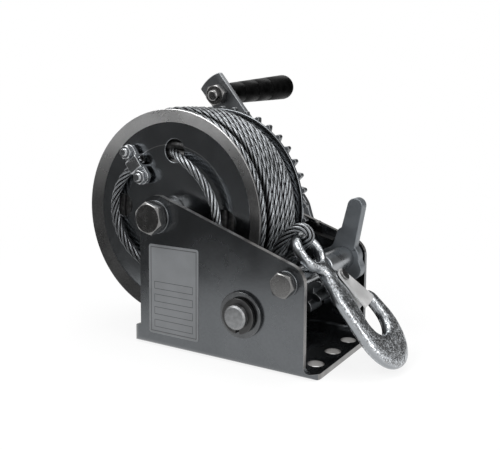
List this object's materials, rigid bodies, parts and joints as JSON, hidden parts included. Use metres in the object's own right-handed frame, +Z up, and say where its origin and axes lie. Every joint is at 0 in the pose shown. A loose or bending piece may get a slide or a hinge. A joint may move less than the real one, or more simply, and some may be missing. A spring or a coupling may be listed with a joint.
{
  "type": "hand winch",
  "caption": "Geared hand winch with a rope drum in a bent steel channel, a two-way pawl, a bent crank with a grip, wire rope and a latched hook, for pulling loads.",
  "frame": {"origin": "middle of the base's hole pattern, on the underside of the base", "axes": "+Z up, +X forward to the hook's side, +Y across to the crank's side"},
  "size_m": [0.2574, 0.2791, 0.2146],
  "materials": {
    "zinc_plate": "zinc plated, satin",
    "zinc_bolt": "zinc plated, semi-bright",
    "drum_sheet": "zinc plated, bright",
    "gear_steel": "zinc plated, satin",
    "bush_steel": "turned and polished",
    "bush_nylon": "plain",
    "wire_rope": "galvanised strands",
    "cast_clip": "zinc plated casting",
    "crank_steel": "zinc plated, satin",
    "grip_plastic": "black, lightly ribbed",
    "pawl_iron": "dark, cast",
    "spring_steel": "zinc plated sheet",
    "hook_zinc": "zinc plated forging, speckled"
  },
  "bodies": {
    "frame": {"frame_channel": "zinc_plate", "axle_bolt": "zinc_bolt", "axle_nut": "zinc_bolt", "axle_washers": "zinc_plate", "tie_bolt": "zinc_bolt", "tie_nut": "zinc_bolt", "tie_washers": "zinc_plate", "tie_tube": "zinc_plate", "pawl_bush": "bush_steel", "pawl_spring": "spring_steel", "pawl_spring_rivet": "zinc_bolt", "pinion_bush_near": "bush_steel", "pinion_bush_far": "bush_steel", "rope_tail": "wire_rope", "rope_ferrule": "cast_clip"},
    "drum": {"drum_hub": "drum_sheet", "drum_bushes": "bush_nylon", "drum_core": "drum_sheet", "drum_flange_near": "drum_sheet", "drum_flange_far": "drum_sheet", "drive_gear": "gear_steel", "gear_rivets": "zinc_bolt", "rope_winding": "wire_rope", "rope_anchor_end": "wire_rope", "anchor_u_bolt": "zinc_bolt", "anchor_saddle": "cast_clip", "anchor_nuts": "zinc_bolt"},
    "crank": {"pinion_shaft": "gear_steel", "pinion_gear": "gear_steel", "retaining_ring": "gear_steel", "crank_arm": "crank_steel", "crank_washer": "zinc_plate", "crank_nut": "zinc_bolt", "grip_spindle": "zinc_bolt", "grip_nut": "zinc_bolt"},
    "grip": {"crank_grip": "grip_plastic"},
    "pawl": {"ratchet_pawl": "pawl_iron"},
    "hook": {"hook": "hook_zinc", "latch_rivet": "zinc_bolt", "latch_spring": "spring_steel"},
    "latch": {"hook_latch": "spring_steel"}
  },
  "joints": [
    {"name": "drum_turn", "type": "hinge", "parent": "frame", "child": "drum", "pos_m": [-0.056, 0, 0.1], "axis": [0, 1, 0], "continuous": true},
    {"name": "crank_turn", "type": "hinge", "parent": "frame", "child": "crank", "pos_m": [0.01902, 0, 0.03772], "axis": [0, 1, 0], "continuous": true},
    {"name": "grip_spin", "type": "hinge", "parent": "crank", "child": "grip", "pos_m": [-0.0835, 0.07434, 0.1921], "axis": [-0.0482, 0.9962, 0.0726], "continuous": true},
    {"name": "pawl_rock", "type": "hinge", "parent": "frame", "child": "pawl", "pos_m": [0.0535, 0, 0.0645], "axis": [0, 1, 0], "range_deg": [-9.5, 9.5]},
    {"name": "hook_swing", "type": "hinge", "parent": "frame", "child": "hook", "pos_m": [0.05566, -0.0221, 0.08091], "axis": [0.788, 0, 0.6157], "range_deg": [-28, 14], "stiffness_Nm_per_rad": 0.6},
    {"name": "latch_open", "type": "hinge", "parent": "hook", "child": "latch", "pos_m": [0.07166, -0.00785, 0.06042], "axis": [-0.788, 0, -0.6157], "range_deg": [0, 38], "stiffness_Nm_per_rad": 0.03, "springref_deg": -20.05}
  ],
  "couplings": [
    {"joint": "crank_turn", "follows": "drum_turn", "ratio": -4.2}
  ]
}
